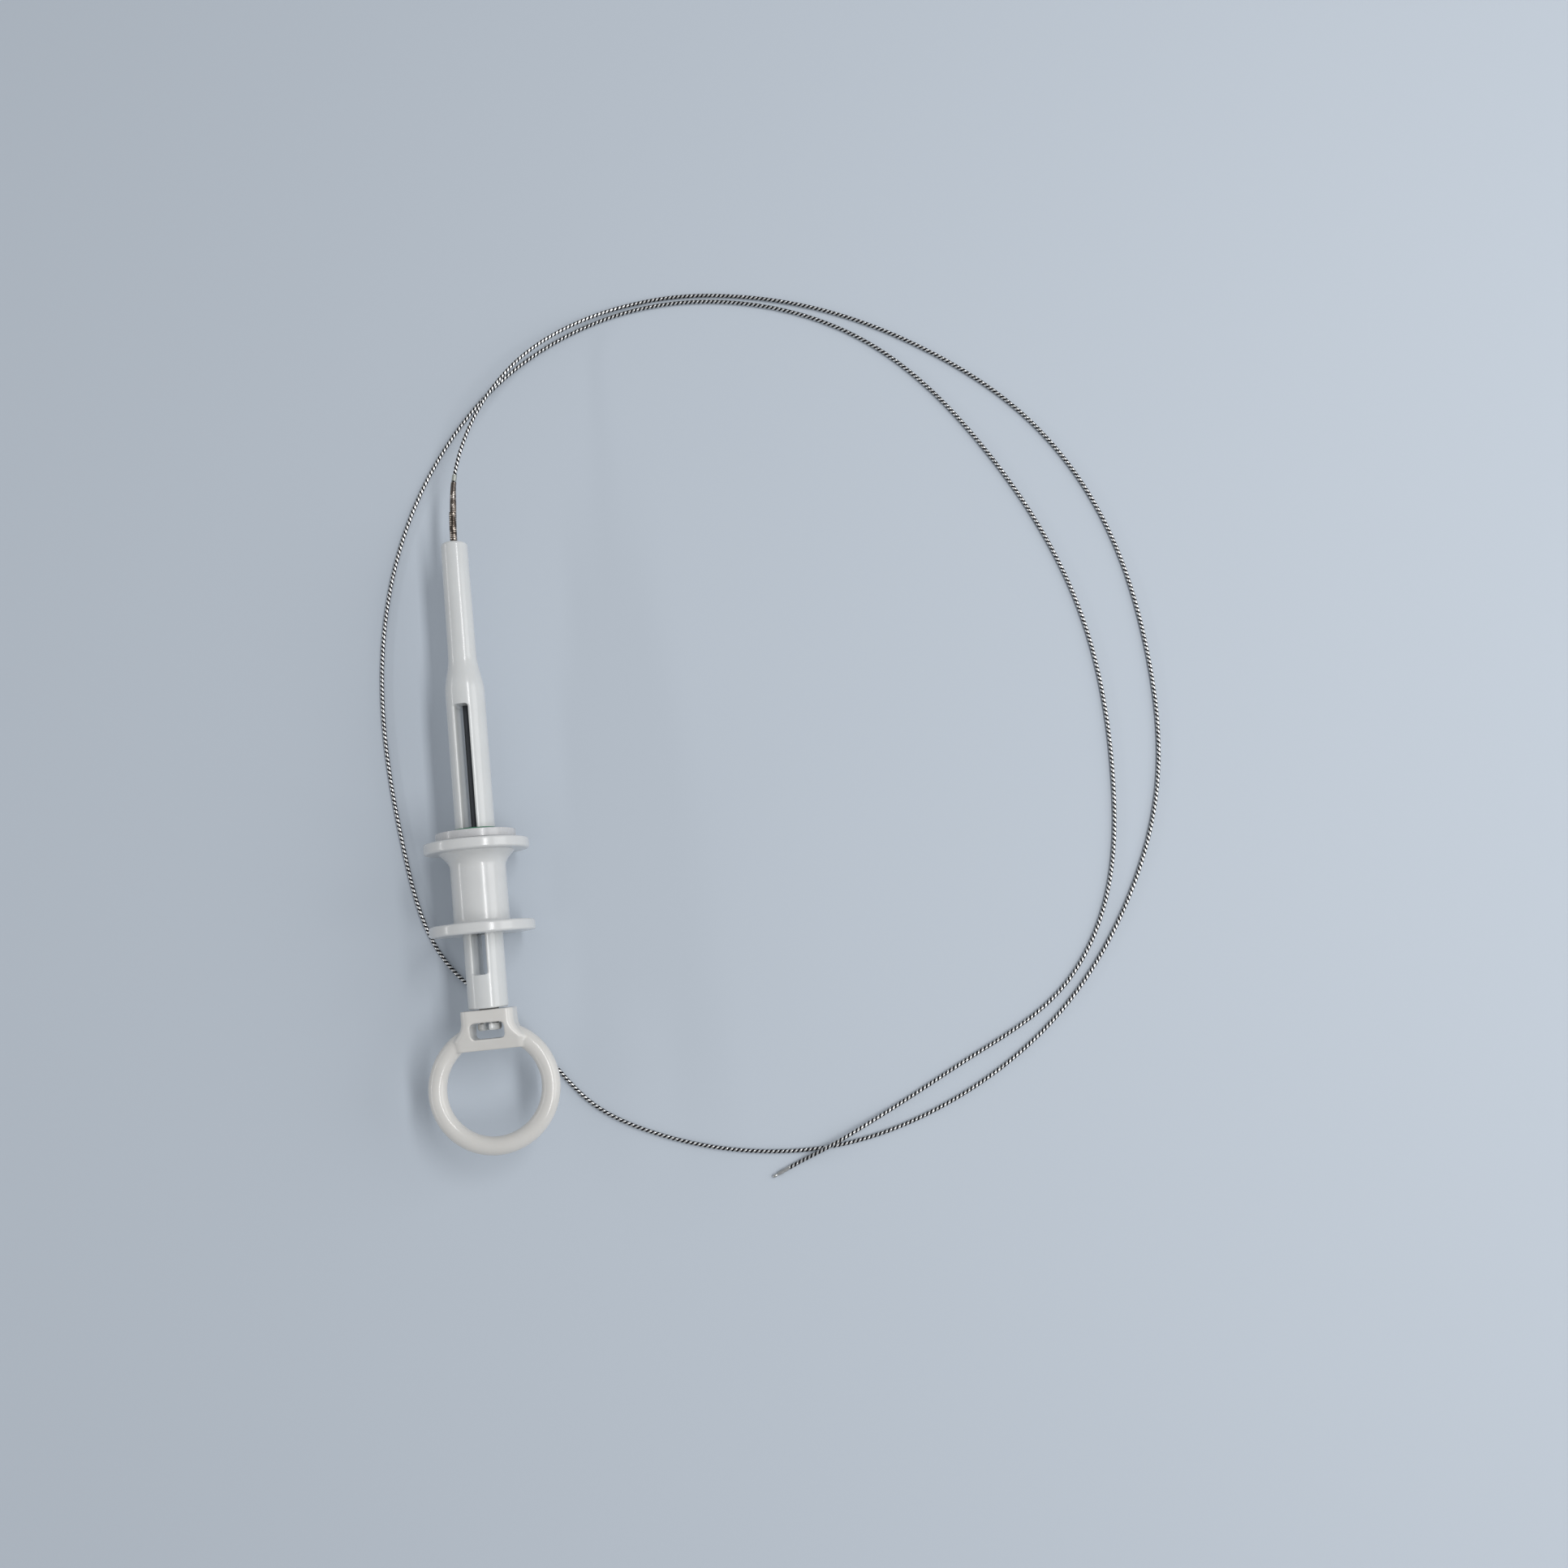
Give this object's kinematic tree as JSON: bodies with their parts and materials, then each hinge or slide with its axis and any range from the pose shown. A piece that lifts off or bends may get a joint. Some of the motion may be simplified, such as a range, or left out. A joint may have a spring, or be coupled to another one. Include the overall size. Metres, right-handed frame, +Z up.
{
  "type": "endoscopic biopsy forceps",
  "caption": "Ring-and-spool handle, a thin coil sheath laid in two loops and rat-tooth jaws that open as the spool slides towards the nose; the thumb ring turns.",
  "frame": {"origin": "bottom centre of the rigid handle's box, on the surface that the spool's flanges rest on", "axes": "+Y along the handle towards its nose, +Z up, +X to the side that the sheath loops lie on"},
  "size_m": [0.2078, 0.241, 0.0265],
  "materials": {
    "body_white": "glossy moulded white",
    "ring_white": "glossy moulded warm white",
    "spool_white": "glossy moulded white",
    "guide_green": "satin dark green",
    "bright_steel": "drawn stainless",
    "coil_steel": "close-wound stainless wire",
    "guard_steel": "close-wound flat wire, brownish"
  },
  "bodies": {
    "handle": {"handle_body": "body_white", "sheath_ferrule": "bright_steel", "outer_guard": "guard_steel", "inner_guard": "guard_steel", "guard_collar": "bright_steel", "coil_sheath": "coil_steel", "tip_sleeve": "bright_steel", "jaw_pin": "bright_steel"},
    "slider": {"slider_spool": "spool_white", "slider_cap": "spool_white", "guide_ring": "guide_green", "crossbar": "bright_steel", "grub_screw": "bright_steel", "drive_tube": "bright_steel", "pull_wire": "bright_steel"},
    "ring": {"thumb_ring": "ring_white"},
    "pusher": {"pusher": "bright_steel", "pusher_pin": "bright_steel"},
    "jaw_left": {"jaw_left": "bright_steel", "link_pin_left": "bright_steel"},
    "jaw_right": {"jaw_right": "bright_steel", "link_pin_right": "bright_steel"},
    "link_left": {"link_left": "bright_steel"},
    "link_right": {"link_right": "bright_steel"}
  },
  "joints": [
    {"name": "slider_slide", "type": "slide", "parent": "handle", "child": "slider", "axis": [0, 1, 0], "range_m": [0, 0.018]},
    {"name": "ring_swivel", "type": "hinge", "parent": "handle", "child": "ring", "pos_m": [0, -0.04445, 0.01325], "axis": [0, 1, 0], "continuous": true},
    {"name": "pusher_slide", "type": "slide", "parent": "handle", "child": "pusher", "axis": [-0.9205, -0.3907, 0], "range_m": [0, 0.00071528]},
    {"name": "jaw_left_open", "type": "hinge", "parent": "handle", "child": "jaw_left", "pos_m": [0.06887, -0.09232, 0.00055], "axis": [0, 0, 1], "range_deg": [0, 50]},
    {"name": "jaw_right_open", "type": "hinge", "parent": "handle", "child": "jaw_right", "pos_m": [0.06887, -0.09232, 0.00055], "axis": [0, 0, -1], "range_deg": [0, 50]},
    {"name": "link_left_swing", "type": "hinge", "parent": "pusher", "child": "link_left", "pos_m": [0.07073, -0.09153, 0.00055], "axis": [0, 0, -1], "range_deg": [0, 30.85]},
    {"name": "link_right_swing", "type": "hinge", "parent": "pusher", "child": "link_right", "pos_m": [0.07073, -0.09153, 0.00055], "axis": [0, 0, 1], "range_deg": [0, 30.85]}
  ],
  "couplings": [
    {"joint": "pusher_slide", "follows": "slider_slide", "ratio": 0.039698},
    {"joint": "jaw_left_open", "follows": "slider_slide", "rad_per_m": 48.48},
    {"joint": "jaw_right_open", "follows": "slider_slide", "rad_per_m": 48.48},
    {"joint": "link_left_swing", "follows": "slider_slide", "rad_per_m": 29.912},
    {"joint": "link_right_swing", "follows": "slider_slide", "rad_per_m": 29.912}
  ]
}
